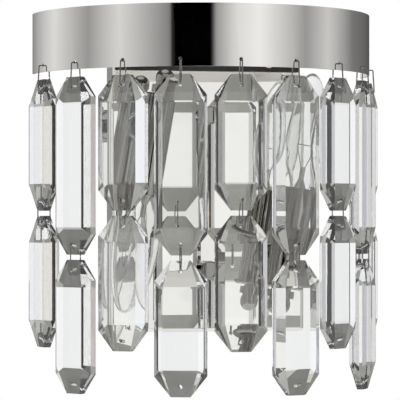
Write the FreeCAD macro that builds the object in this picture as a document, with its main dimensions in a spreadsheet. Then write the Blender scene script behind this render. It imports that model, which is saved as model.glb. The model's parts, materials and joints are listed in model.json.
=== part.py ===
import FreeCAD, Part
import math
import os
import re
import Sketcher
from FreeCAD import Vector

# A wall sconce: a polished half-round band hangs nine columns of cut crystals in front of
# two candle lamps and a polished backplate.
# Frame: the wall is the plane y = 0, the front faces -Y, +Z is up, and the origin is the
# centre of the mounting strap. Millimetres and degrees.

SIZES = [
    ("band_radius", 127.0, "outer radius of the half-round band"),
    ("band_thick", 1.5, "sheet of the band"),
    ("band_height", 44.4, "height of the band"),
    ("band_bottom", 87.6, "height of the band's lower edge above the origin"),
    ("band_hole_up", 5.0, "ring holes above the band's lower edge"),
    ("band_hole_radius", 1.4, "ring holes in the band"),
    ("column_step", 19.3, "angle between neighbouring columns"),
    ("crystal_width", 37.0, "crystal across its side flats"),
    ("crystal_thick", 13.2, "crystal across its front and back flats"),
    ("front_flat", 26.2, "width of the front and back flats"),
    ("side_flat", 5.0, "width of the side flats"),
    ("tip_width", 13.6, "width of the tip"),
    ("tip_thick", 4.5, "thickness of the tip"),
    ("front_shoulder", 19.5, "length of the front facet at each end"),
    ("side_shoulder", 14.5, "length of the side facet at each end"),
    ("short_length", 95.5, "length of a short crystal"),
    ("long_length", 127.0, "length of a long crystal"),
    ("crystal_hole_inset", 7.6, "hole's centre from the crystal's tip"),
    ("crystal_hole_radius", 1.3, "hole through the crystal"),
    ("top_gap", 5.6, "band's lower edge to the upper crystal"),
    ("link_gap", 3.7, "upper crystal to the lower crystal"),
    ("ring_wire", 0.5, "radius of the upper ring's wire"),
    ("ring_top_width", 7.6, "upper ring at the band, between wire centres"),
    ("ring_low_width", 9.6, "upper ring at the crystal, between wire centres"),
    ("ring_drop", 0.4, "upper ring's bar under the centre of the band's hole"),
    ("link_wire", 0.45, "radius of the link's wire"),
    ("link_width", 9.6, "link between wire centres"),
    ("link_drop", 0.2, "link's bar under the centre of the upper crystal's hole"),
    ("wire_bend", 1.1, "bends of rings and links, at the wire's centre"),
    ("wire_split", 0.3, "gap between the ends of a bent wire"),
    ("wire_seat", 0.15, "wire to the top of the hole that hangs on it"),
    ("plate_width", 142.0, "backplate, side to side"),
    ("plate_height", 206.0, "backplate, top to bottom"),
    ("plate_depth", 24.5, "backplate's front face from the wall"),
    ("plate_sheet", 1.2, "sheet of the backplate"),
    ("plate_round", 3.0, "rounding of the backplate's edges"),
    ("bar_width", 140.0, "cross bar, side to side"),
    ("bar_height", 13.0, "cross bar, top to bottom"),
    ("bar_thick", 3.0, "cross bar, front to back"),
    ("bar_bottom", 90.0, "height of the cross bar's lower edge"),
    ("strut_spread", 120.0, "between the centres of the two struts"),
    ("strut_thick", 3.0, "strut, side to side"),
    ("strut_height", 8.0, "strut, top to bottom"),
    ("bar_screw_spread", 92.0, "between the cross bar's screws"),
    ("screw_radius", 2.0, "shank of the bar's screws"),
    ("screw_head_radius", 3.9, "head of the bar's screws"),
    ("screw_head_height", 2.4, "head of the bar's screws"),
    ("screw_length", 12.0, "shank of the bar's screws"),
    ("strap_length", 136.0, "mounting strap, top to bottom"),
    ("strap_width", 22.0, "mounting strap, side to side"),
    ("strap_thick", 1.6, "mounting strap, front to back"),
    ("box_spacing", 88.9, "between the junction box screws"),
    ("slot_length", 14.0, "box screw slots, end to end"),
    ("slot_radius", 2.25, "half the width of the box screw slots"),
    ("wire_hole_radius", 6.0, "hole for the supply wires in the strap"),
    ("stud_spacing", 114.3, "between the two studs"),
    ("stud_radius", 2.0, "thread of the studs"),
    ("stud_reach", 8.0, "stud beyond the backplate's front"),
    ("thread_gap", 0.05, "a thread to its hole"),
    ("slip_gap", 0.3, "a part to the hole that it passes through"),
    ("cap_nut_radius", 6.75, "cap nuts on the backplate"),
    ("cap_nut_length", 9.5, "cap nuts on the backplate"),
    ("cap_nut_round", 1.2, "rounding of the cap nut's front"),
    ("ground_screw_drop", 22.0, "ground screw below the strap's centre"),
    ("ground_head_radius", 4.0, "head of the ground screw"),
    ("ground_head_height", 2.6, "head of the ground screw"),
    ("lamp_side", 55.3, "lower edge of the bulb's glass to the side of the centre"),
    ("lamp_rise", 0.5, "lower edge of the bulb's glass above or below the centre"),
    ("lamp_forward", 67.0, "lamp's axis from the wall"),
    ("lamp_tilt", 9.5, "lean of the lamps"),
    ("arm_drop", 50.0, "arm below the bulb's glass, along the lamp"),
    ("arm_radius", 5.0, "arm tube"),
    ("arm_bore", 3.4, "inside radius of the arm tube"),
    ("arm_tail", 7.5, "arm tube behind the backplate's front face"),
    ("arm_stop", 4.0, "end of the arm from the lamp's axis"),
    ("boss_radius", 12.0, "boss round the arm's root on the backplate"),
    ("boss_height", 5.0, "boss round the arm's root on the backplate"),
    ("boss_round", 3.0, "rounding of the boss"),
    ("arm_nut_flats", 16.0, "arm's nut across its flats"),
    ("arm_nut_height", 4.0, "arm's nut"),
    ("block_radius", 9.9, "block inside the sleeve that takes the arm"),
    ("block_length", 20.0, "block inside the sleeve"),
    ("stem_radius", 4.8, "threaded stem below and above the block"),
    ("stem_bore", 3.0, "wire passage in the block and the stem"),
    ("shoulder_radius", 5.6, "shoulder that the cup stands on"),
    ("collar_radius", 8.3, "ring under the cup's shoulder"),
    ("collar_drop", 72.9, "ring's upper side below the bulb's glass"),
    ("collar_length", 5.2, "ring under the cup's shoulder"),
    ("finial_neck", 6.0, "neck between the ring and the round foot"),
    ("finial_radius", 6.7, "round foot of the lamp"),
    ("finial_drop", 80.6, "round foot's upper side below the bulb's glass"),
    ("finial_length", 9.9, "round foot of the lamp"),
    ("finial_round", 6.5, "rounding of the foot's end"),
    ("cup_drop", 71.4, "cup's underside below the bulb's glass"),
    ("cup_sheet", 1.2, "sheet of the cup"),
    ("cup_floor", 11.6, "radius of the cup's floor"),
    ("cup_radius", 13.4, "radius of the cup's rim"),
    ("cup_height", 2.0, "cup, underside to rim"),
    ("bead_radius", 1.1, "beads round the cup's rim"),
    ("sleeve_radius", 11.0, "candle sleeve"),
    ("sleeve_wall", 0.8, "wall of the candle sleeve"),
    ("sleeve_rise", 2.0, "candle sleeve past the lower edge of the bulb's glass"),
    ("socket_drop", 27.0, "socket's underside below the bulb's glass"),
    ("socket_radius", 9.6, "socket"),
    ("socket_bore", 6.4, "inside radius of the socket"),
    ("socket_floor", 3.0, "floor of the socket"),
    ("cap_flange_height", 1.8, "flange between the bulb's cap and glass"),
    ("cap_flange_radius", 6.9, "flange between the bulb's cap and glass"),
    ("bulb_cap_radius", 6.1, "screw cap of the bulb"),
    ("contact_radius", 2.5, "end contact of the bulb"),
    ("contact_height", 1.0, "end contact of the bulb"),
    ("bulb_length", 87.5, "glass of the bulb"),
    ("bulb_radius", 16.0, "widest part of the bulb"),
    ("bulb_belly", 33.0, "widest part above the glass's lower edge"),
    ("bulb_neck", 7.0, "neck of the bulb"),
    ("bulb_tip", 9.75, "fullness of the bulb's tip"),
    ("bulb_wall", 0.7, "glass of the bulb"),
    ("mount_radius", 5.6, "foot of the glass mount inside the bulb"),
    ("mount_height", 18.0, "glass mount inside the bulb"),
    ("mount_stem", 2.0, "upper part of the glass mount"),
    ("filament_height", 34.0, "filament above the glass's lower edge"),
    ("filament_width", 14.0, "filament between its lead wires"),
    ("filament_wire", 0.4, "radius of the filament and its lead wires"),
    ("lead_radius", 1.4, "supply lead in each arm"),
    ("lead_tail", 6.0, "supply lead behind the arm's end"),
    ("lead_bend", 2.6, "bend of the lead inside the block"),
]
COLUMNS = range(1, 10)
MIDDLE_COLUMN = 5
SIDES = {"right": 0, "left": 180}  # the left lamp is the right one turned half round
BEADS = 32

doc = FreeCAD.newDocument("wall_sconce")
sheet = doc.addObject("Spreadsheet::Sheet", "sizes")
for row, (alias, number, note) in enumerate(SIZES, 1):
    sheet.set(f"A{row}", note)
    sheet.set(f"B{row}", str(number))
    sheet.setAlias(f"B{row}", alias)
doc.recompute()
ALIASES = {alias for alias, number, note in SIZES}
sub_parts = []


def formula(text):
    """The same formula with each size named as the sheet's cell."""
    return re.sub(r"[a-z_]+", lambda m: f"sizes.{m[0]}" if m[0] in ALIASES else m[0], text)


def value(text):
    """The number that a formula gives now."""
    return float(sheet.evalExpression(formula(text)))


def bind(item, **formulas):
    for name, text in formulas.items():
        item.setExpression(name, formula(text))
    return item


def place(item, x="0", y="0", z="0", turn="rotation(vector(0; 0; 1); 0)"):
    """Binds an object's place and turn to the sheet."""
    return bind(item, Placement=f"placement(vector({x}; {y}; {z}); {turn})")


def keep(item, label):
    """Marks a finished sub-part and gives it the label that names its file."""
    item.Label = label
    sub_parts.append(item)
    return item


# --- helpers: sketches, turned and flat bodies, booleans ---


def origin_plane(body, role):
    return next(f for f in body.Origin.OriginFeatures if f.Role == role)


def pin_point(sketch, edge, x, y):
    """Holds the start of a sketch line at two formulas."""
    for kind, text, axis in (("DistanceX", x, -2), ("DistanceY", y, -1)):
        if text == "0":
            sketch.addConstraint(Sketcher.Constraint("PointOnObject", edge, 1, axis))
        else:
            rule = Sketcher.Constraint(kind, -1, 1, edge, 1, value(text))
            number = sketch.addConstraint(rule)
            sketch.setExpression(f"Constraints[{number}]", formula(text))


def outline_sketch(body, role, corners):
    """A closed outline of straight sides through corners given as formulas."""
    sketch = body.newObject("Sketcher::SketchObject", "outline")
    sketch.AttachmentSupport = (origin_plane(body, role), [""])
    sketch.MapMode = "FlatFace"
    points = [Vector(value(x), value(y), 0) for x, y in corners]
    ends = points[1:] + points[:1]
    sketch.addGeometry([Part.LineSegment(a, b) for a, b in zip(points, ends)], False)
    count = len(corners)
    for edge, (x, y) in enumerate(corners):
        sketch.addConstraint(Sketcher.Constraint("Coincident", edge, 2, (edge + 1) % count, 1))
        pin_point(sketch, edge, x, y)
    return sketch


def turned(name, corners, angle="360"):
    """A body turned about its own Z axis from an outline of (radius, height) formulas."""
    body = doc.addObject("PartDesign::Body", name)
    sketch = outline_sketch(body, "XZ_Plane", corners)
    turn = body.newObject("PartDesign::Revolution", "turn")
    turn.Profile = sketch
    turn.ReferenceAxis = (sketch, ["V_Axis"])
    turn.Reversed = True
    bind(turn, Angle=angle)
    doc.recompute()
    return body


def flat(name, corners, thickness):
    """A body padded forwards from the wall side, from an outline of (x, z) formulas."""
    body = doc.addObject("PartDesign::Body", name)
    pad = body.newObject("PartDesign::Pad", "pad")
    pad.Profile = outline_sketch(body, "XZ_Plane", corners)
    bind(pad, Length=thickness)
    doc.recompute()
    return body


def rectangle(width, height):
    """Corners of a centred rectangle."""
    x, z = f"{width} / 2", f"{height} / 2"
    return [(f"-{x}", f"-{z}"), (x, f"-{z}"), (x, z), (f"-{x}", z)]


def cylinder(name, radius, height, **where):
    return place(bind(doc.addObject("Part::Cylinder", name), Radius=radius, Height=height), **where)


def box(name, length, width, height, x, y, z):
    block = doc.addObject("Part::Box", name)
    return place(bind(block, Length=length, Width=width, Height=height), x, y, z)


def joined(name, pieces):
    fuse = doc.addObject("Part::MultiFuse", name)
    fuse.Shapes = pieces
    return fuse


def group(name, pieces):
    """Separate solids that share one node."""
    compound = doc.addObject("Part::Compound", name)
    compound.Links = pieces
    return compound


def cut(name, base, tool):
    result = doc.addObject("Part::Cut", name)
    result.Base = base
    result.Tool = tool
    return result


def made(name, shape):
    """A sub-part whose shape comes from the functions below."""
    feature = doc.addObject("Part::Feature", name)
    feature.Shape = shape
    return feature


FORWARD = "rotation(vector(1; 0; 0); 90)"  # a body's +Z points away from the wall


def drill(radius, y, length, x="0", z="0"):
    """A round tool that starts at y and runs away from the wall."""
    return cylinder("drill", radius, length, x=x, y=y, z=z, turn=FORWARD)


def rounded_body(body, wanted, radius):
    """Fillets the edges of a body that a test picks out."""
    before = body.Tip
    names = [f"Edge{i}" for i, edge in enumerate(before.Shape.Edges, 1) if wanted(edge)]
    fillet = body.newObject("PartDesign::Fillet", "rounding")
    fillet.Base = (before, names)
    bind(fillet, Radius=radius)
    body.Tip = fillet
    doc.recompute()
    return body


def circle_at(height, radius):
    """Picks the circle of one radius at one height of a turned body."""
    level, size = value(height), value(radius)

    def wanted(edge):
        if not isinstance(edge.Curve, Part.Circle):
            return False
        return abs(edge.Curve.Center.z - level) < 1e-4 and abs(edge.Curve.Radius - size) < 1e-4

    return wanted


# --- helpers: bent wire ---


def unit(vector):
    return Vector(vector).normalize()


def rounded_path(points, bend):
    """Straight runs through the points, with each corner rounded by a tangent arc."""
    edges = []
    start = points[0]
    for before, corner, after in zip(points, points[1:], points[2:]):
        back, ahead = unit(before - corner), unit(after - corner)
        half_angle = back.getAngle(ahead) / 2
        reach = bend / math.tan(half_angle)
        centre = corner + unit(back + ahead) * (bend / math.sin(half_angle))
        arc_start, arc_end = corner + back * reach, corner + ahead * reach
        arc_middle = centre + unit(corner - centre) * bend
        edges.append(Part.LineSegment(start, arc_start).toShape())
        edges.append(Part.Arc(arc_start, arc_middle, arc_end).toShape())
        start = arc_end
    edges.append(Part.LineSegment(start, points[-1]).toShape())
    return Part.Wire(edges)


def swept(path, start, direction, radius):
    """A round bar along a path; its volume must be its section times its length."""
    profile = Part.Wire(Part.makeCircle(radius, start, direction))
    solid = path.makePipeShell([profile], True, False)
    expected = math.pi * radius**2 * path.Length
    if abs(solid.Volume / expected - 1) > 0.01:
        raise ValueError(f"a bent wire has volume {solid.Volume:.3f}, not {expected:.3f}")
    return solid


def bent_wire(points, radius, bend):
    """A round bar along straight runs with one bend radius for all corners."""
    return swept(rounded_path(points, bend), points[0], points[1] - points[0], radius)


def wire_loop(top_width, low_width, height, wire):
    """A closed loop in the plane x = 0 whose top bar lies on the origin.

    The wire starts and ends on the leg nearest the wall, where its ends nearly meet."""
    top, low = value(top_width) / 2, value(low_width) / 2
    half_split = value("wire_split") / 2
    leg_middle = Vector(0, (top + low) / 2, -height / 2)
    up_the_leg = unit(Vector(0, top - low, height))
    corners = [
        Vector(0, top, 0),
        Vector(0, -top, 0),
        Vector(0, -low, -height),
        Vector(0, low, -height),
    ]
    start, end = leg_middle + up_the_leg * half_split, leg_middle - up_the_leg * half_split
    return bent_wire([start, *corners, end], value(wire), value("wire_bend"))


# --- crystals ---


def cut_crystal(length):
    """An eight-sided bar about the origin whose ends taper through facets to a flat tip.

    It has a hole from front to back near each tip."""
    half = length / 2
    tip_x, tip_y, flat_x = (value(f"{size} / 2") for size in ("tip_width", "tip_thick", "front_flat"))
    wide, thick = value("crystal_width / 2"), value("crystal_thick / 2")
    edge = value("side_flat / 2")
    front_z, side_z = half - value("front_shoulder"), half - value("side_shoulder")

    def tip(sx, sy, sz):
        return Vector(sx * tip_x, sy * tip_y, sz * half)

    def front(sx, sy, sz):
        return Vector(sx * flat_x, sy * thick, sz * front_z)

    def side(sx, sy, sz):
        return Vector(sx * wide, sy * edge, sz * side_z)

    loops = []
    for e in (1, -1):
        loops.append([tip(1, 1, e), tip(-1, 1, e), tip(-1, -1, e), tip(1, -1, e)])
        for s in (1, -1):
            loops.append([tip(-1, s, e), tip(1, s, e), front(1, s, e), front(-1, s, e)])
            loops.append([tip(s, 1, e), tip(s, -1, e), side(s, -1, e), side(s, 1, e)])
            loops += [[tip(t, s, e), front(t, s, e), side(t, s, e)] for t in (1, -1)]
    for s in (1, -1):
        loops.append([front(-1, s, 1), front(1, s, 1), front(1, s, -1), front(-1, s, -1)])
        loops.append([side(s, 1, 1), side(s, -1, 1), side(s, -1, -1), side(s, 1, -1)])
        for t in (1, -1):
            loops.append([front(t, s, 1), side(t, s, 1), side(t, s, -1), front(t, s, -1)])
    faces = [Part.Face(Part.makePolygon(loop + loop[:1])) for loop in loops]
    shell = Part.makeShell(faces)
    shell.sewShape()
    solid = Part.makeSolid(shell)
    if solid.Volume < 0:
        solid.reverse()
    depth, radius = 2 * thick, value("crystal_hole_radius")
    for s in (1, -1):
        start = Vector(0, -depth, s * (half - value("crystal_hole_inset")))
        solid = solid.cut(Part.makeCylinder(radius, 2 * depth, start, Vector(0, 1, 0)))
    return solid


def in_column(item, column, height):
    """Places a piece under the band at its column's angle, its own -Y facing outwards."""
    angle = f"(column_step * {column - MIDDLE_COLUMN})"
    radius = "(band_radius - band_thick / 2)"
    x, y = f"{radius} * sin({angle})", f"-{radius} * cos({angle})"
    return place(item, x, y, height, f"rotation(vector(0; 0; 1); {angle})")


loop_rise = "(crystal_hole_radius - {} - wire_seat)"
ring_rise, link_rise = loop_rise.format("ring_wire"), loop_rise.format("link_wire")
ring_height = value(f"band_hole_up - ring_drop + top_gap + crystal_hole_inset - {ring_rise}")
link_height = value(f"2 * crystal_hole_inset + link_gap - link_drop - {link_rise}")
upper_top = "band_bottom - top_gap"

for column in COLUMNS:
    upper_length = "short_length" if column % 2 else "long_length"
    upper_bottom = f"{upper_top} - {upper_length}"
    lower_top = f"{upper_bottom} - link_gap"
    ring = made("ring", wire_loop("ring_top_width", "ring_low_width", ring_height, "ring_wire"))
    in_column(ring, column, "band_bottom + band_hole_up - ring_drop")
    keep(ring, f"upper_ring_{column}")
    upper = made("upper", cut_crystal(value(upper_length)))
    in_column(upper, column, f"{upper_top} - {upper_length} / 2")
    keep(upper, f"upper_crystal_{column}")
    link = made("link", wire_loop("link_width", "link_width", link_height, "link_wire"))
    in_column(link, column, f"{upper_bottom} + crystal_hole_inset - link_drop")
    keep(link, f"crystal_link_{column}")
    lower = made("lower", cut_crystal(value("short_length")))
    in_column(lower, column, f"{lower_top} - short_length / 2")
    keep(lower, f"lower_crystal_{column}")


# --- band, struts and cross bar ---

inner_radius = "band_radius - band_thick"
band_top = "band_bottom + band_height"
half_ring = turned(
    "half_ring",
    [
        (inner_radius, "band_bottom"),
        ("band_radius", "band_bottom"),
        ("band_radius", band_top),
        (inner_radius, band_top),
    ],
    "180",
)
drills = []
for column in COLUMNS:
    angle = f"column_step * {column - MIDDLE_COLUMN}"
    turn = f"rotation(vector(0; 0; 1); {angle}) * {FORWARD}"
    height = "band_bottom + band_hole_up"
    drills.append(cylinder("drill", "band_hole_radius", "2 * band_radius", z=height, turn=turn))
keep(cut("band_drilled", half_ring, joined("drills", drills)), "band")

bar_front = "(plate_depth + bar_thick)"
bar_middle = "(bar_bottom + bar_height / 2)"
struts = []
for hand in (1, -1):
    x = f"{hand} * strut_spread / 2 - strut_thick / 2"
    z = f"{bar_middle} - strut_height / 2"
    reach = f"-{bar_front} - band_radius"
    blank = box("blank", "strut_thick", "band_radius", "strut_height", x, reach, z)
    inside = cylinder("inside", inner_radius, "2 * strut_height", z=f"{bar_middle} - strut_height")
    strut = doc.addObject("Part::Common", "strut")
    strut.Base, strut.Tool = blank, inside
    struts.append(strut)
keep(group("strut_pair", struts), "band_struts")


def screw_holes(radius, y, length):
    """Tools for the two screws of the cross bar."""
    return [drill(radius, y, length, f"{hand} * bar_screw_spread / 2", bar_middle) for hand in (1, -1)]


bar_place = ("-bar_width / 2", f"-{bar_front}", "bar_bottom")
bar = box("bar_blank", "bar_width", "bar_thick", "bar_height", *bar_place)
bar_holes = screw_holes("screw_radius + slip_gap", "-plate_depth + bar_thick / 2", "2 * bar_thick")
keep(cut("bar_drilled", bar, joined("bar_holes", bar_holes)), "cross_bar")

screws = []
for hand in (1, -1):
    screw = turned(
        "bar_screw",
        [
            ("0", "0"),
            ("screw_radius", "0"),
            ("screw_radius", "screw_length"),
            ("screw_head_radius", "screw_length"),
            ("screw_head_radius", "screw_length + screw_head_height"),
            ("0", "screw_length + screw_head_height"),
        ],
    )
    head_edge = circle_at("screw_length + screw_head_height", "screw_head_radius")
    rounded_body(screw, head_edge, "screw_head_height / 3")
    x = f"{hand} * bar_screw_spread / 2"
    screws.append(place(screw, x, f"-{bar_front} + screw_length", bar_middle, FORWARD))
keep(group("screw_pair", screws), "bar_screws")


# --- backplate, strap, studs and nuts ---



def rounded_slab(name, width, height, depth, radius):
    """A slab with its back on the wall plane and all its other edges rounded."""
    slab = flat(name, rectangle(width, height), depth)
    return rounded_body(slab, lambda edge: edge.BoundBox.YMin < -1e-4, radius)


pan = rounded_slab("pan_outside", "plate_width", "plate_height", "plate_depth", "plate_round")
hollow_size = [f"({size} - 2 * plate_sheet)" for size in ("plate_width", "plate_height")]
hollow = rounded_slab("pan_inside", *hollow_size, "plate_depth - plate_sheet", "plate_round - plate_sheet")
arm_x = "(lamp_side - arm_drop * sin(lamp_tilt))"
arm_z = "(lamp_rise - arm_drop * cos(lamp_tilt))"
through_plate = ("-plate_depth + 2 * plate_sheet", "4 * plate_sheet")
plate_holes = screw_holes("screw_radius + thread_gap", *through_plate)
for hand in (1, -1):
    stud_z = f"{hand} * stud_spacing / 2"
    plate_holes.append(drill("stud_radius + slip_gap", *through_plate, z=stud_z))
    arm_place = (f"{hand} * {arm_x}", f"{hand} * {arm_z}")
    plate_holes.append(drill("arm_radius + thread_gap", *through_plate, *arm_place))
keep(cut("pan_drilled", pan, joined("pan_tools", [hollow, *plate_holes])), "backplate")

strap = flat("strap_blank", rectangle("strap_width", "strap_length"), "strap_thick")
through_strap = ("strap_thick", "3 * strap_thick")
strap_tools = [
    drill("wire_hole_radius", *through_strap),
    drill("screw_radius + thread_gap", *through_strap, z="-ground_screw_drop"),
]
slot_half = "(slot_length / 2 - slot_radius)"
for hand in (1, -1):
    middle = f"{hand} * box_spacing / 2"
    for end in (1, -1):
        z = f"{middle} + {end} * {slot_half}"
        strap_tools.append(drill("slot_radius", *through_strap, z=z))
    slot_size = ("2 * slot_radius", "3 * strap_thick", f"2 * {slot_half}")
    slot_place = ("-slot_radius", "-2 * strap_thick", f"{middle} - {slot_half}")
    strap_tools.append(box("slot_middle", *slot_size, *slot_place))
    stud_z = f"{hand} * stud_spacing / 2"
    strap_tools.append(drill("stud_radius + thread_gap", *through_strap, z=stud_z))
keep(cut("strap_drilled", strap, joined("strap_tools", strap_tools)), "mount_strap")

studs, nuts = [], []
for hand in (1, -1):
    z = f"{hand} * stud_spacing / 2"
    studs.append(cylinder("stud", "stud_radius", "plate_depth + stud_reach", z=z, turn=FORWARD))
    nut = turned(
        "cap_nut",
        [
            ("stud_radius + thread_gap", "0"),
            ("cap_nut_radius", "0"),
            ("cap_nut_radius", "cap_nut_length"),
            ("0", "cap_nut_length"),
            ("0", "stud_reach + thread_gap"),
            ("stud_radius + thread_gap", "stud_reach + thread_gap"),
        ],
    )
    rounded_body(nut, circle_at("cap_nut_length", "cap_nut_radius"), "cap_nut_round")
    nuts.append(place(nut, "0", "-plate_depth", z, FORWARD))
keep(group("stud_pair", studs), "plate_studs")
keep(group("nut_pair", nuts), "cap_nuts")

ground = turned(
    "ground",
    [
        ("0", "0"),
        ("screw_radius", "0"),
        ("screw_radius", "strap_thick"),
        ("ground_head_radius", "strap_thick"),
        ("ground_head_radius", "strap_thick + ground_head_height"),
        ("0", "strap_thick + ground_head_height"),
    ],
)
keep(place(ground, "0", "0", "-ground_screw_drop", FORWARD), "ground_screw")


# --- lamps: one leans up to the right, the other is the same lamp turned half round ---
# Heights along a lamp are taken from the lower edge of its bulb's glass.


def on_lamp(item, half_turn):
    """Places a piece on one lamp's axis; its own -Y side stays away from the wall."""
    hand = -1 if half_turn else 1
    turn = f"rotation(vector(0; 1; 0); lamp_tilt + {half_turn})"
    return place(item, f"{hand} * lamp_side", "-lamp_forward", f"{hand} * lamp_rise", turn)


def at_arm(item, half_turn, y):
    """Places a piece on one arm's axis, pointing away from the wall."""
    hand = -1 if half_turn else 1
    return place(item, f"{hand} * {arm_x}", y, f"{hand} * {arm_z}", FORWARD)


bosses, arm_nuts = [], []
for side, half_turn in SIDES.items():
    arm_length = "lamp_forward - arm_stop - plate_depth + arm_tail"
    arm = turned(
        f"arm_tube_{side}",
        [("arm_bore", "0"), ("arm_radius", "0"), ("arm_radius", arm_length), ("arm_bore", arm_length)],
    )
    keep(at_arm(arm, half_turn, "arm_tail - plate_depth"), f"arm_{side}")
    boss = turned("boss", [
        ("arm_radius + thread_gap", "0"),
        ("boss_radius", "0"),
        ("boss_radius", "boss_height"),
        ("arm_radius + thread_gap", "boss_height"),
    ])
    rounded_body(boss, circle_at("boss_height", "boss_radius"), "boss_round")
    bosses.append(at_arm(boss, half_turn, "-plate_depth"))
    blank = doc.addObject("Part::Prism", "nut_blank")
    blank.Polygon = 6
    bind(blank, Circumradius="arm_nut_flats / sqrt(3)", Height="arm_nut_height")
    bore = cylinder("nut_bore", "arm_radius + thread_gap", "arm_nut_height")
    nut = cut("arm_nut", blank, bore)
    arm_nuts.append(at_arm(nut, half_turn, "plate_sheet + arm_nut_height - plate_depth"))
keep(group("boss_pair", bosses), "arm_bosses")
keep(group("arm_nut_pair", arm_nuts), "arm_nuts")


def bulb_profile(inset):
    """Half the section of a candle bulb, closed along its axis: two curves meet at the belly."""
    belly, length = value("bulb_belly"), value("bulb_length") - inset
    radius, neck, tip = (value(size) - inset for size in ("bulb_radius", "bulb_neck", "bulb_tip"))
    shoulder, waist, throat = belly + 25 / 56 * (length - belly), 6 / 11 * belly, 4 / 11 * belly
    lower_poles = [(neck, 0), (neck, throat), (radius, waist), (radius, belly)]
    upper_poles = [(radius, belly), (radius, shoulder), (tip, length), (0, length)]
    lower, upper = Part.BezierCurve(), Part.BezierCurve()
    lower.setPoles([Vector(r, 0, z) for r, z in lower_poles])
    upper.setPoles([Vector(r, 0, z) for r, z in upper_poles])
    axis = Part.LineSegment(Vector(0, 0, length), Vector(0, 0, 0))
    base = Part.LineSegment(Vector(0, 0, 0), Vector(neck, 0, 0))
    return Part.Face(Part.Wire([curve.toShape() for curve in (lower, upper, axis, base)]))


def bulb_envelope():
    """A blown candle bulb, open at its neck."""
    spin = (Vector(0, 0, 0), Vector(0, 0, 1), 360)
    return bulb_profile(0).revolve(*spin).cut(bulb_profile(value("bulb_wall")).revolve(*spin))


def filament_mount():
    """The glass mount with its lead wires and the filament between them, as one piece."""
    foot, stem, height = value("mount_radius"), value("mount_stem"), value("mount_height")
    glass = Part.makeCone(foot, stem, height / 2).fuse(Part.makeCylinder(stem, height))
    rise, reach, radius = value("filament_height"), value("filament_width / 2"), value("filament_wire")
    inside = height - stem
    corners = ((-stem / 2, inside), (-reach, rise), (reach, rise), (stem / 2, inside))
    wire = bent_wire([Vector(x, 0, z) for x, z in corners], radius, 2 * radius)
    return glass.fuse(wire).removeSplitter()


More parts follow.
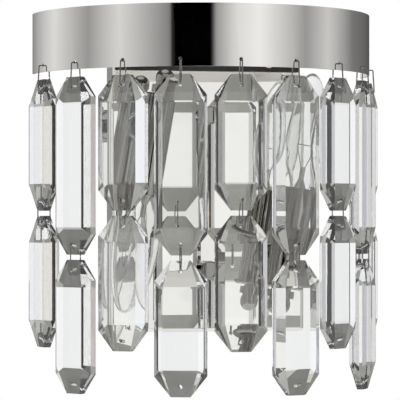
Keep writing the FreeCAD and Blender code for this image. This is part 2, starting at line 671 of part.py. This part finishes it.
seat = "(socket_floor - socket_drop)"
sleeve_low = "(cup_sheet - cup_drop)"
stems, cups, sockets, bulb_caps, mounts, leads = [], [], [], [], [], []
for side, half_turn in SIDES.items():
    finial_low, collar_low = "(-finial_drop - finial_length)", "(-collar_drop - collar_length)"
    stem = turned("lamp_stem", [
        ("0", finial_low),
        ("finial_radius", finial_low),
        ("finial_radius", "-finial_drop"),
        ("finial_neck", "-finial_drop"),
        ("finial_neck", collar_low),
        ("collar_radius", collar_low),
        ("collar_radius", "-collar_drop"),
        ("shoulder_radius", "-collar_drop"),
        ("shoulder_radius", "-cup_drop"),
        ("stem_radius", "-cup_drop"),
        ("stem_radius", "-arm_drop - block_length / 2"),
        ("block_radius", "-arm_drop - block_length / 2"),
        ("block_radius", "-arm_drop + block_length / 2"),
        ("stem_radius", "-arm_drop + block_length / 2"),
        ("stem_radius", "-socket_drop"),
        ("stem_bore", "-socket_drop"),
        ("stem_bore", "-arm_drop - stem_bore"),
        ("0", "-arm_drop - stem_bore"),
    ])
    rounded_body(stem, circle_at(finial_low, "finial_radius"), "finial_round")
    towards_wall = "rotation(vector(1; 0; 0); -90)"
    at_block = {"z": "-arm_drop", "turn": towards_wall}
    arm_seat = cylinder("arm_seat", "arm_radius + thread_gap", "block_radius", y="arm_stop", **at_block)
    lead_way = cylinder("lead_way", "stem_bore", "block_radius", **at_block)
    passages = joined("passages", [arm_seat, lead_way])
    stems.append(on_lamp(cut("stem_drilled", stem, passages), half_turn))

    rim = "-cup_drop + cup_height"
    dish = turned(
        "dish",
        [
            ("stem_radius + thread_gap", "-cup_drop"),
            ("cup_floor", "-cup_drop"),
            ("cup_radius", "-cup_drop + cup_height / 2"),
            ("cup_radius", rim),
            ("cup_radius - cup_sheet", rim),
            ("cup_radius - cup_sheet", "-cup_drop + cup_height / 2 + cup_sheet / 4"),
            ("cup_floor - cup_sheet / 4", sleeve_low),
            ("stem_radius + thread_gap", sleeve_low),
        ],
    )
    beads = []
    for bead in range(BEADS):
        angle = f"({bead} * 360 / {BEADS})"
        ring = "(cup_radius - cup_sheet / 2)"
        ball = bind(doc.addObject("Part::Sphere", "bead"), Radius="bead_radius")
        beads.append(place(ball, f"{ring} * cos({angle})", f"{ring} * sin({angle})", rim))
    cups.append(on_lamp(joined("beaded_cup", [dish, *beads]), half_turn))

    sleeve_bore = "sleeve_radius - sleeve_wall"
    sleeve = turned("sleeve", [
        (sleeve_bore, sleeve_low),
        ("sleeve_radius", sleeve_low),
        ("sleeve_radius", "sleeve_rise"),
        (sleeve_bore, "sleeve_rise"),
    ])
    arm_way = cylinder("arm_way", "arm_radius + slip_gap", "2 * sleeve_radius", **at_block)
    keep(on_lamp(cut("sleeve_drilled", sleeve, arm_way), half_turn), f"candle_sleeve_{side}")

    socket = turned("socket", [
        ("lead_radius + slip_gap", "-socket_drop"),
        ("socket_radius", "-socket_drop"),
        ("socket_radius", "-cap_flange_height"),
        ("socket_bore", "-cap_flange_height"),
        ("socket_bore", seat),
        ("lead_radius + slip_gap", seat),
    ])
    sockets.append(on_lamp(socket, half_turn))
    bulb_cap = turned("bulb_cap", [
        ("0", seat),
        ("contact_radius", seat),
        ("contact_radius", f"{seat} + contact_height"),
        ("bulb_cap_radius", f"{seat} + 2 * contact_height"),
        ("bulb_cap_radius", "-cap_flange_height"),
        ("cap_flange_radius", "-cap_flange_height"),
        ("cap_flange_radius", "0"),
        ("0", "0"),
    ])
    bulb_caps.append(on_lamp(bulb_cap, half_turn))
    keep(on_lamp(made("glass", bulb_envelope()), half_turn), f"bulb_glass_{side}")
    mounts.append(on_lamp(made("filament", filament_mount()), half_turn))

    tail = value("lamp_forward - plate_depth + arm_tail + lead_tail")
    corner, top = -value("arm_drop"), value(f"{seat} - thread_gap")
    lead_points = [Vector(0, tail, corner), Vector(0, 0, corner), Vector(0, 0, top)]
    lead = made("lead", bent_wire(lead_points, value("lead_radius"), value("lead_bend")))
    leads.append(on_lamp(lead, half_turn))

keep(group("stem_pair", stems), "lamp_stems")
keep(group("cup_pair", cups), "candle_cups")
keep(group("socket_pair", sockets), "lamp_sockets")
keep(group("bulb_cap_pair", bulb_caps), "bulb_caps")
keep(group("mount_pair", mounts), "bulb_filaments")
keep(group("lead_pair", leads), "lamp_leads")


# --- check and write ---

doc.recompute()
for item in doc.Objects:
    if "Invalid" in item.State or "Error" in item.State:
        raise RuntimeError(f"{item.Name} ({item.Label}) failed: {item.State}")
os.makedirs("parts", exist_ok=True)
for item in sub_parts:
    if item.Shape.isNull() or not item.Shape.isValid() or not item.Shape.Solids:
        raise RuntimeError(f"{item.Label} has no sound solid")
    item.Shape.exportStep(f"parts/{item.Label}.step")
    print(f"{item.Label}: {len(item.Shape.Solids)} solids, {item.Shape.Volume:.1f} mm3")
print(f"{len(sub_parts)} sub-parts")
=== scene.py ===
# %% [markdown]
# # Crystal wall sconce
# A polished half-round band carries nine columns of cut crystals, two crystals to a column. Behind
# them two leaning candle lamps, one head up and one head down, stand on arms off a mirror-polished
# backplate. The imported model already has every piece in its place, so this lesson is about what such
# pieces are made of: clear cut glass, mirror metal, thin wire, and light that suits them.

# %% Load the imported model
import json
import math

import bmesh
import bpy
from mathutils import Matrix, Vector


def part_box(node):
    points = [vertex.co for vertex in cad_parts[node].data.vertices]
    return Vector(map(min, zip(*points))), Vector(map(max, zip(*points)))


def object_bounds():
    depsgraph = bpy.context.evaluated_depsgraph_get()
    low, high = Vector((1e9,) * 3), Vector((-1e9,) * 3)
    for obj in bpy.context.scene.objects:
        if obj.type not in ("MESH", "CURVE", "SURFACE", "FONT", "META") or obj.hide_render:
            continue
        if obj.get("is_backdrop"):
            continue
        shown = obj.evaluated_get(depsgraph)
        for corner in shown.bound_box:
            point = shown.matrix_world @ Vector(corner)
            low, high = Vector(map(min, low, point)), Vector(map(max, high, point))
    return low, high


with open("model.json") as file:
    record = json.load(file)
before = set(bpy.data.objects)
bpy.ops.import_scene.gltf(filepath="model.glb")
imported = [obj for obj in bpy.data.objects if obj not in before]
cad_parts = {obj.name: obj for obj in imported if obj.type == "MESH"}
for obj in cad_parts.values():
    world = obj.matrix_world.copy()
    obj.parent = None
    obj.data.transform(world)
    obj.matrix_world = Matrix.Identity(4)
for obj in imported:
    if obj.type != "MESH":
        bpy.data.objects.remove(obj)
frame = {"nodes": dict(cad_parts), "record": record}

nodes = frame["nodes"]
slot_of = {part["node"]: part["material_slot"] for part in frame["record"]["subparts"]}
cad_box = [list(corner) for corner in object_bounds()]
print("box in mm:", [[round(1000 * value) for value in corner] for corner in cad_box])

# %% [markdown]
# ## Camera
# A product photographer stands well back with a long lens, so that the band's ellipse stays shallow
# and the near crystals do not swell. A camera could be placed by eye and corrected, but here the
# band and both rows of crystals gave its place: level, a little to the left of square on. The lens
# shift moves the picture up without tilting the camera, which keeps every upright line upright.

# %% Place the camera
PICTURE = 400
FOCAL_PIXELS = 2476.6
DISTANCE = 1.859
TURN = math.radians(13.25)
LENS_HEIGHT = -0.020
MIDDLE_X, MIDDLE_Y = 199.73, 219.7

ahead = (math.sin(TURN), math.cos(TURN), 0.0)
to_the_right = (math.cos(TURN), -math.sin(TURN), 0.0)
camera = bpy.data.objects.new("camera", bpy.data.cameras.new("camera"))
camera.location = (-DISTANCE * ahead[0], -DISTANCE * ahead[1], LENS_HEIGHT)
camera.rotation_euler = (math.radians(90), 0.0, -TURN)
camera.data.sensor_width = 36.0
camera.data.lens = FOCAL_PIXELS * camera.data.sensor_width / PICTURE
camera.data.shift_x = (PICTURE / 2 - MIDDLE_X) / PICTURE
camera.data.shift_y = (MIDDLE_Y - PICTURE / 2) / PICTURE
scene = bpy.context.scene
scene.collection.objects.link(camera)
scene.camera = camera
scene.view_settings.view_transform = "Standard"
print("lens in mm:", round(camera.data.lens, 1))

# %% [markdown]
# ## A small kit for wiring nodes
# Every finish below is a tree of shader nodes. Wiring them by hand repeats the same few lines, so these
# helpers add a node with its settings and feed its sockets. Nothing here is about looks yet. A Mix node
# has a set of sockets for each kind of value that it can mix, told apart only by their numbers: those of
# its two sides and of its result.

# %% Helpers for node trees
MIX_SOCKETS = {"RGBA": (6, 7, 2), "FLOAT": (2, 3, 0)}


def add_node(tree, kind, **settings):
    """Adds one node to a tree and sets its properties."""
    node = tree.nodes.new(kind)
    for name, value in settings.items():
        setattr(node, name, value)
    return node


def feed(tree, source, target):
    """Feeds a socket from another socket, or with a plain value."""
    if isinstance(source, bpy.types.NodeSocket):
        tree.links.new(source, target)
    else:
        target.default_value = source


def arithmetic(tree, operation, first, second):
    """A Math node; each side may be a socket or a number."""
    node = add_node(tree, "ShaderNodeMath", operation=operation)
    feed(tree, first, node.inputs[0])
    feed(tree, second, node.inputs[1])
    return node.outputs[0]


def spread(tree, source, low, high, new_low, new_high):
    """Maps a value from one range to another and holds it there."""
    node = add_node(tree, "ShaderNodeMapRange", clamp=True)
    names = ("Value", "From Min", "From Max", "To Min", "To Max")
    for name, value in zip(names, (source, low, high, new_low, new_high)):
        feed(tree, value, node.inputs[name])
    return node.outputs["Result"]


def mixed(tree, factor, first, second, kind="RGBA"):
    """A Mix node for colours or numbers; each side may be a socket or a value."""
    node = add_node(tree, "ShaderNodeMix", data_type=kind)
    first_side, second_side, result = MIX_SOCKETS[kind]
    feed(tree, factor, node.inputs["Factor"])
    feed(tree, first, node.inputs[first_side])
    feed(tree, second, node.inputs[second_side])
    return node.outputs[result]


# %% [markdown]
# ## The studio
# Mirror metal and clear glass have no look of their own: they show the room. A lamp alone would give
# a black sconce with one glint. Real studios stand tall white panels round such a piece, with gaps
# between them, and the dark gap in the middle is where the camera stands. Each pair below is the
# middle or the edge of a panel or of a gap: its angle round the sconce from the camera, to the right,
# and its strength. The panels only reach a little above and below the sconce. Above them the room is
# dark, below them the pale floor sends light back up, and overhead hangs a wide soft light.

# %% Panels round the sconce
PANELS = [
    (-180, 0.05), (-160, 0.20), (-115, 0.80), (-80, 0.35), (-55, 0.75), (-20, 0.25), (-18, 0.0),
    (8, 0.0), (11, 0.35), (25, 0.80), (40, 0.95), (75, 0.35), (95, 0.65), (125, 0.20), (180, 0.05),
]
PANEL_TOP, PANEL_FADE = 0.17, 0.24
ROOM_ABOVE = (0.10, 0.10, 0.095, 1.0)
ROOM_BELOW = (0.62, 0.61, 0.59, 1.0)
OVERHEAD = (0.90, 0.90, 0.90, 1.0)
OVERHEAD_EDGE, OVERHEAD_FULL = 0.80, 0.92
HORIZON_BLEND = 0.1

world = bpy.data.worlds.new("studio")
world.use_nodes = True
scene.world = world
studio = world.node_tree
studio.nodes.clear()
direction = add_node(studio, "ShaderNodeTexCoord").outputs["Generated"]


def along(axis):
    """How far the looked-at direction goes along an axis."""
    node = add_node(studio, "ShaderNodeVectorMath", operation="DOT_PRODUCT")
    feed(studio, direction, node.inputs[0])
    feed(studio, axis, node.inputs[1])
    return node.outputs["Value"]


def set_stops(ramp, shades, tint=(1.0, 1.0, 1.0)):
    """Gives a color ramp its stops: a place with one strength, or with three for a tinted light."""
    stops = ramp.color_ramp.elements
    while len(stops) < len(shades):
        stops.new(0.5)
    for stop, (place, shade) in zip(stops, shades):
        stop.position = place
        light = shade if isinstance(shade, tuple) else [shade * part for part in tint]
        stop.color = (*light, 1.0)


round_angle = arithmetic(studio, "ARCTAN2", along(to_the_right), along([-value for value in ahead]))
panel_ramp = add_node(studio, "ShaderNodeValToRGB")
feed(studio, spread(studio, round_angle, -math.pi, math.pi, 0.0, 1.0), panel_ramp.inputs["Fac"])
set_stops(panel_ramp, [((degrees + 180) / 360, strength) for degrees, strength in PANELS])
print("panel stops:", len(panel_ramp.color_ramp.elements))

# %% The room above and below the panels, soft light overhead
rise = along((0.0, 0.0, 1.0))
steepness = arithmetic(studio, "ABSOLUTE", rise, 0.0)
past_panels = spread(studio, steepness, PANEL_TOP, PANEL_FADE, 0.0, 1.0)
near_top = spread(studio, rise, OVERHEAD_EDGE, OVERHEAD_FULL, 0.0, 1.0)
upward = spread(studio, rise, -HORIZON_BLEND, HORIZON_BLEND, 0.0, 1.0)
room_shade = mixed(studio, upward, ROOM_BELOW, ROOM_ABOVE)
walls = mixed(studio, past_panels, panel_ramp.outputs["Color"], room_shade)
room = mixed(studio, near_top, walls, OVERHEAD)
print("room nodes:", len(studio.nodes))

# %% [markdown]
# The crystals are lit from behind. A clear body has to look white and its cut ends grey, which is
# done with one wide, low white screen behind the sconce: the upright facets bend light sideways and
# still find the screen, while the slanted end facets bend it up or down, past the screen's edge.
# Three more things make the glass lively. The screen's side edges are tinted, warm inside and cool
# outside, with a fainter pair of tints on the screen itself, in place of the rainbow fringes that cut
# glass gives and this renderer does not. Further round, light and dark strips stand in for the room
# that strongly bent rays would meet. And the room above and below the screen has lighter and darker
# stretches, so that neighbouring end facets differ.

# %% The screen that the glass sees
SCREEN = [
    (0, 0.96), (6, 0.88), (10, 1.0), (22, 1.0), (28, (0.92, 0.95, 1.0)), (34, (1.0, 0.96, 0.90)),
    (40, 1.0), (46, 1.0), (51, (0.66, 0.59, 0.51)), (57, (0.36, 0.39, 0.48)), (80, 0.65), (98, 0.50),
    (110, 0.20), (122, 0.90), (134, 0.25), (146, 1.0), (160, 1.0), (168, 0.20), (175, 0.60), (180, 0.15),
]
PAST_SCREEN = [
    (-180, 0.20), (-60, 0.50), (-36, 0.15), (-20, 0.40), (-9, 0.12), (0, 0.19), (10, 0.11), (22, 0.45),
    (38, 0.15), (60, 0.50), (180, 0.20),
]
SCREEN_TOP, SCREEN_FADE = 0.12, 0.17
WARM_GREY = (1.0, 0.99, 0.93)
behind = arithmetic(studio, "ARCTAN2", along(to_the_right), along(ahead))
screen_ramp = add_node(studio, "ShaderNodeValToRGB")
either_side = arithmetic(studio, "ABSOLUTE", behind, 0.0)
feed(studio, spread(studio, either_side, 0.0, math.pi, 0.0, 1.0), screen_ramp.inputs["Fac"])
set_stops(screen_ramp, [(degrees / 180, shade) for degrees, shade in SCREEN])
past_ramp = add_node(studio, "ShaderNodeValToRGB")
feed(studio, spread(studio, behind, -math.pi, math.pi, 0.0, 1.0), past_ramp.inputs["Fac"])
set_stops(past_ramp, [((degrees + 180) / 360, shade) for degrees, shade in PAST_SCREEN], WARM_GREY)
past_screen = spread(studio, steepness, SCREEN_TOP, SCREEN_FADE, 0.0, 1.0)
backlight = mixed(studio, past_screen, screen_ramp.outputs["Color"], past_ramp.outputs["Color"])
print("screen stops:", len(SCREEN), "and past it:", len(PAST_SCREEN))

# %% [markdown]
# Mirror metal has to show the panels and glass the screen, while matt surfaces need plain even light,
# so that their colours come out as they are. Lamps linked to single pieces could do that, but one
# world can too: the Light Path node tells which kind of ray is asking, and the world has an answer for
# each. What the camera sees directly stays white.

# %% Which rays see the panels
EVEN_WHITE = (1.0, 1.0, 1.0, 1.0)

path = add_node(studio, "ShaderNodeLightPath")
sees_panels = arithmetic(
    studio, "MAXIMUM", path.outputs["Is Glossy Ray"], path.outputs["Is Transmission Ray"]
)
seen = mixed(studio, path.outputs["Is Transmission Ray"], room, backlight)
even_light = add_node(studio, "ShaderNodeBackground")
feed(studio, EVEN_WHITE, even_light.inputs["Color"])
panels = add_node(studio, "ShaderNodeBackground")
feed(studio, seen, panels.inputs["Color"])
choice = add_node(studio, "ShaderNodeMixShader")
feed(studio, sees_panels, choice.inputs[0])
feed(studio, even_light.outputs[0], choice.inputs[1])
feed(studio, panels.outputs[0], choice.inputs[2])
output = add_node(studio, "ShaderNodeOutputWorld")
feed(studio, choice.outputs[0], output.inputs["Surface"])
print("studio nodes:", len(studio.nodes))

# %% [markdown]
# ## Floor
# The sconce hangs on a wall, so the floor is well below it and out of the picture. It is still
# needed: seen from above it is the background, and rays that the crystals bend steeply down land on
# it. It is a round pale sheet whose colour fades to near white at the rim, so that no edge shows.

# %% Lay the floor
FLOOR_DROP = 0.45
FLOOR_RADIUS = 0.7
SHADE_START = 0.25
SHADE_MIDDLE, SHADE_RIM = 0.84, 0.99
FLOOR_SIDES = 96

floor_mesh = bpy.data.meshes.new("floor")
sheet = bmesh.new()
bmesh.ops.create_circle(sheet, cap_ends=True, segments=FLOOR_SIDES, radius=FLOOR_RADIUS)
sheet.to_mesh(floor_mesh)
sheet.free()
floor = bpy.data.objects.new("floor", floor_mesh)
floor.location = (0.0, 0.0, -FLOOR_DROP)
scene.collection.objects.link(floor)
floor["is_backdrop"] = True

floor_paint = bpy.data.materials.new("floor_paint")
floor_paint.use_nodes = True
tree = floor_paint.node_tree
paint = tree.nodes["Principled BSDF"]
place = add_node(tree, "ShaderNodeTexCoord")
reach = add_node(tree, "ShaderNodeVectorMath", operation="LENGTH")
feed(tree, place.outputs["Object"], reach.inputs[0])
shade = spread(tree, reach.outputs["Value"], SHADE_START, FLOOR_RADIUS, SHADE_MIDDLE, SHADE_RIM)
grey = add_node(tree, "ShaderNodeCombineColor")
for name in ("Red", "Green", "Blue"):
    feed(tree, shade, grey.inputs[name])
feed(tree, grey.outputs["Color"], paint.inputs["Base Color"])
paint.inputs["Roughness"].default_value = 0.9
paint.inputs["Specular IOR Level"].default_value = 0.1
floor.data.materials.append(floor_paint)
print("floor at", round(-FLOOR_DROP, 2), "m")

# %% [markdown]
# ## Finishes
# Real polish is never perfect: plated metal has a faint haze, and glass has finger marks. A flat
# colour with one roughness looks like plastic, so each finish lets a soft noise vary the roughness,
# and where such a surface has one, a fine grain tilts it a little. One helper makes them all, because
# only the numbers differ.

# %% Helper: a finish with haze and grain
NOISE_DETAIL = 3.0
NOISE_LOW, NOISE_HIGH = 0.3, 0.7
GRAIN_DEPTH = 0.0001


def finish(name, color, haze, patch, metal=0.0, see_through=0.0, index=1.5, drift=0.03, grain=0.0):
    """A surface whose roughness wanders between two values over patches of a given size in metres."""
    material = bpy.data.materials.new(name)
    material.use_nodes = True
    tree = material.node_tree
    surface = tree.nodes["Principled BSDF"]
    place = add_node(tree, "ShaderNodeTexCoord")
    cloud = add_node(tree, "ShaderNodeTexNoise")
    cloud.inputs["Scale"].default_value = 1.0 / patch
    cloud.inputs["Detail"].default_value = NOISE_DETAIL
    feed(tree, place.outputs["Object"], cloud.inputs["Vector"])
    haze_here = spread(tree, cloud.outputs["Fac"], NOISE_LOW, NOISE_HIGH, *haze)
    feed(tree, haze_here, surface.inputs["Roughness"])
    darker = (*[value * (1 - drift) for value in color], 1.0)
    paler = (*[min(1.0, value * (1 + drift)) for value in color], 1.0)
    feed(tree, mixed(tree, cloud.outputs["Fac"], darker, paler), surface.inputs["Base Color"])
    surface.inputs["Metallic"].default_value = metal
    surface.inputs["Transmission Weight"].default_value = see_through
    surface.inputs["IOR"].default_value = index
    if grain:
        tilt = add_node(tree, "ShaderNodeBump")
        tilt.inputs["Strength"].default_value = grain
        tilt.inputs["Distance"].default_value = GRAIN_DEPTH
        feed(tree, cloud.outputs["Fac"], tilt.inputs["Height"])
        feed(tree, tilt.outputs["Normal"], surface.inputs["Normal"])
    return material


# %% [markdown]
# ### Metals
# The band, the backplate and the lamps are polished to a mirror. They are taken to be nickel plated, a
# touch warm next to chrome. The hooks are thin wire that reads almost black against the light, as
# dulled steel does. What hides behind the plate isn't seen, and gets the plain zinc plating that such
# hardware usually has.

# %% Mix the metals
NICKEL = (0.88, 0.865, 0.84)
MIRROR_HAZE = (0.012, 0.035)
POLISH_PATCH = 0.03

finishes = {
    "polished_nickel": finish("polished_nickel", NICKEL, MIRROR_HAZE, POLISH_PATCH, metal=1.0),
    "wire": finish("dull_wire", (0.30, 0.29, 0.28), (0.18, 0.32), 0.002, metal=1.0),
    "zinc_steel": finish("zinc_steel", (0.64, 0.65, 0.66), (0.30, 0.45), 0.004, metal=1.0, grain=0.3),
    "cap_brass": finish("cap_brass", (0.78, 0.62, 0.33), (0.16, 0.30), 0.004, metal=1.0),
    "green_steel": finish("green_screw", (0.05, 0.27, 0.11), (0.30, 0.45), 0.003, metal=0.5),
}
print("metals:", sorted(finishes))

# %% [markdown]
# ### Glass and plastics
# Cut crystal bends light a little more than window glass does, and its slanted facets turn that into
# hard greys. The bulbs are thin blown glass with a lower index. Glass could be made with a Glass
# shader, but the standard surface shader takes the same haze as the metals do. The crystals let 97
# parts in a hundred through, and the rest is pale and matt, which lifts their darkest facets a little.

# %% Mix the glass and the plastics
finishes.update({
    "crystal": finish("cut_crystal", (0.985, 0.992, 0.99), (0.0, 0.004), 0.02, see_through=0.97,
                      index=1.56, drift=0.004),
    "bulb_glass": finish("blown_glass", (0.985, 0.99, 0.99), (0.0, 0.006), 0.02, see_through=1.0,
                         index=1.47, drift=0.004),
    "filament": finish("filament_mount", (0.70, 0.68, 0.64), (0.10, 0.22), 0.004, metal=0.7),
    "socket_plastic": finish("socket_shell", (0.86, 0.84, 0.78), (0.45, 0.60), 0.005, grain=0.2),
    "lead_insulation": finish("lead_insulation", (0.85, 0.85, 0.83), (0.40, 0.55), 0.004, grain=0.2),
})
print("finishes:", len(finishes))

# %% [markdown]
# ### Special cases
# The bar that carries the band looks black, as it sits in the band's shade and mirrors the dark
# under it, so it gets a near-black satin colour: painted shade. The lamps and the cap nuts are nickel
# like the band but look darker, so their nickel is darkened: painted shade. The backplate looks
# brighter from the light it mirrors, so its nickel is made paler: painted light. The inside of the
# band isn't seen from the front, but the plate under it mirrors it and still looks white, so it is
# taken to be pale and matt. One material does both sides of the band, telling them apart by the
# distance from the band's axis, so no seam can gape at the edge.

# %% Finish the bar, the lamps and the plate
# The bar's near-black colour is painted shade: the shade under the band and the dark it mirrors.
finishes["dark_steel"] = finish("bar_shade_black", (0.022, 0.021, 0.020), (0.28, 0.42), 0.006, grain=0.1)
# The lamps and cap nuts are nickel like the band; their darker colour is painted shade.
shaded_nickel = finish("shaded_nickel", (0.36, 0.35, 0.335), (0.015, 0.04), 0.02, metal=1.0)
# The backplate's paler nickel is painted light: it stands in for the brighter light the plate mirrors.
brightened_nickel = finish("brightened_nickel", (0.985, 0.975, 0.94), (0.0, 0.012), 0.04, metal=1.0, drift=0.01)
SHADED_NICKEL_PIECES = ("arm_left", "arm_right", "arm_bosses", "lamp_stems", "candle_cups", "candle_sleeve_left",
               "candle_sleeve_right", "cap_nuts")
print("shade_darkened pieces:", len(SHADED_NICKEL_PIECES))

# %% Finish the band, outside and inside
INSIDE_PALE = (0.93, 0.92, 0.88, 1.0)
INSIDE_HAZE = 0.55
BAND_SKIN = 0.001
SKIN_BLEND = 0.0001
WITHOUT_HEIGHT = (1.0, 1.0, 0.0)

band_finish = finish("band_nickel", NICKEL, MIRROR_HAZE, POLISH_PATCH, metal=1.0)
tree = band_finish.node_tree
surface = tree.nodes["Principled BSDF"]
low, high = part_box("band")
outer_radius = (high[0] - low[0]) / 2
place = add_node(tree, "ShaderNodeTexCoord")
flat = add_node(tree, "ShaderNodeVectorMath", operation="MULTIPLY")
feed(tree, place.outputs["Object"], flat.inputs[0])
feed(tree, WITHOUT_HEIGHT, flat.inputs[1])
from_axis = add_node(tree, "ShaderNodeVectorMath", operation="LENGTH")
feed(tree, flat.outputs["Vector"], from_axis.inputs[0])
skin = outer_radius - BAND_SKIN
outside = spread(tree, from_axis.outputs["Value"], skin - SKIN_BLEND, skin + SKIN_BLEND, 0.0, 1.0)
polished_tone = surface.inputs["Base Color"].links[0].from_socket
polished_haze = surface.inputs["Roughness"].links[0].from_socket
feed(tree, mixed(tree, outside, INSIDE_PALE, polished_tone), surface.inputs["Base Color"])
feed(tree, mixed(tree, outside, INSIDE_HAZE, polished_haze, "FLOAT"), surface.inputs["Roughness"])
feed(tree, outside, surface.inputs["Metallic"])
print("band radius in mm:", round(1000 * outer_radius, 1))

# %% [markdown]
# ### Every piece gets its finish
# Each piece keeps the material slots it was packed with, and only what fills them changes. A piece
# takes its own finish where one is named for it, and otherwise the one that its slot in the record
# asks for.

# %% Dress every piece
own_finish = {"band": band_finish, "backplate": brightened_nickel, **{name: shaded_nickel for name in SHADED_NICKEL_PIECES}}
for name, piece in nodes.items():
    for slot in piece.material_slots:
        slot.link = "OBJECT"
        slot.material = own_finish.get(name, finishes[slot_of[name]])
dressed = sum(bool(piece.material_slots) for piece in nodes.values())
print("dressed:", dressed, "of", len(nodes))

# %% [markdown]
# ## Check the size and finish
# The dressed sconce should be no larger than the imported one, so the two boxes are kept and compared.

# %% Compare the two boxes and finish
seen_box = [list(corner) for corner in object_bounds()]
growth = max(abs(a - b) for low, high in zip(cad_box, seen_box) for a, b in zip(low, high))
print("largest difference of the boxes in mm:", round(1000 * growth, 3))
